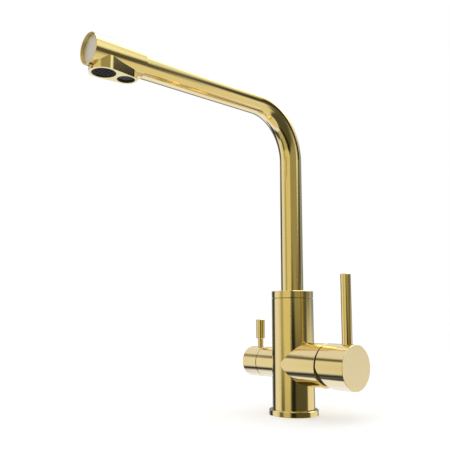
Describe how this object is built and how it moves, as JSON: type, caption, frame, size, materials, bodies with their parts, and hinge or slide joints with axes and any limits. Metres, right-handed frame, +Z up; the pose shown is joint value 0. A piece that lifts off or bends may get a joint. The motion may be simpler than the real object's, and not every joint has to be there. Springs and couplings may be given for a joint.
{
  "type": "three way filtered water tap",
  "caption": "Deck mounted kitchen tap with a swivelling L shaped spout, a joystick mixer on one side and a quarter turn filtered water valve on the other.",
  "frame": {"origin": "centre of the base's underside on the deck, on the column's axis and at the mouth of the fixing stud's hole", "axes": "+Z up along the column, spout towards -Y, mixer arm towards +X, filtered water arm towards -X"},
  "size_m": [0.145, 0.283, 0.3459],
  "materials": {
    "polished_gold": "polished gold coating on brass",
    "raw_brass": "turned, uncoated",
    "black_plastic": "black moulded",
    "rubber": "matt",
    "white_plastic": "moulded",
    "grey_plastic": "moulded",
    "ceramic": "lapped ceramic",
    "steel": "stainless"
  },
  "bodies": {
    "body": {"body_casting": "polished_gold", "base_ring": "polished_gold", "base_gasket": "rubber", "inlet_block": "raw_brass", "swivel_washer": "black_plastic", "spout_set_screw": "steel", "filter_nipple": "raw_brass", "nipple_o_ring": "rubber", "cartridge_base": "grey_plastic", "cartridge_seals": "rubber", "cartridge_housing": "white_plastic", "fixed_disc": "ceramic", "cartridge_nut": "raw_brass", "cartridge_dome": "polished_gold", "filter_valve_body": "raw_brass", "filter_valve_seal": "rubber", "filter_fixed_disc": "ceramic"},
    "rotor": {"cartridge_rotor": "white_plastic", "pivot_pin": "steel"},
    "disc": {"moving_disc": "ceramic", "disc_carrier": "grey_plastic"},
    "mixer_handle": {"mixer_stem": "steel", "mixer_hub": "polished_gold", "mixer_lever": "polished_gold", "mixer_set_screw": "steel"},
    "filter_handle": {"filter_moving_disc": "ceramic", "filter_spindle": "raw_brass", "spindle_o_rings": "rubber", "filter_hub": "polished_gold", "filter_pin": "polished_gold", "filter_grip": "polished_gold", "filter_set_screw": "steel"},
    "spout": {"spout_pipe": "polished_gold", "spout_collar": "polished_gold", "spout_spigot": "raw_brass", "spout_o_rings": "rubber", "spout_guide_ring": "white_plastic", "filter_tube": "white_plastic", "tube_clip": "grey_plastic", "spout_head": "polished_gold", "head_end_cap": "polished_gold", "outlet_elbow": "grey_plastic", "main_aerator_housing": "black_plastic", "main_aerator_insert": "black_plastic", "main_aerator_seal": "rubber", "filter_aerator_housing": "black_plastic", "filter_aerator_mesh": "steel", "filter_aerator_seal": "rubber"}
  },
  "joints": [
    {"name": "spout_swivel", "type": "hinge", "parent": "body", "child": "spout", "pos_m": [0, 0, 0.122], "axis": [0, 0, 1], "continuous": true},
    {"name": "mixer_turn", "type": "hinge", "parent": "body", "child": "rotor", "pos_m": [0.04, 0, 0.053], "axis": [1, 0, 0], "range_deg": [-45, 45]},
    {"name": "mixer_tilt", "type": "hinge", "parent": "rotor", "child": "mixer_handle", "pos_m": [0.04, 0, 0.053], "axis": [0, 1, 0], "range_deg": [0, 23]},
    {"name": "disc_slide", "type": "slide", "parent": "rotor", "child": "disc", "axis": [0, 0, 1], "range_m": [0, 0.00625]},
    {"name": "filter_turn", "type": "hinge", "parent": "body", "child": "filter_handle", "pos_m": [-0.05, 0, 0.053], "axis": [1, 0, 0], "range_deg": [0, 90]}
  ],
  "couplings": [
    {"joint": "disc_slide", "follows": "mixer_tilt", "m_per_rad": 0.015574}
  ]
}
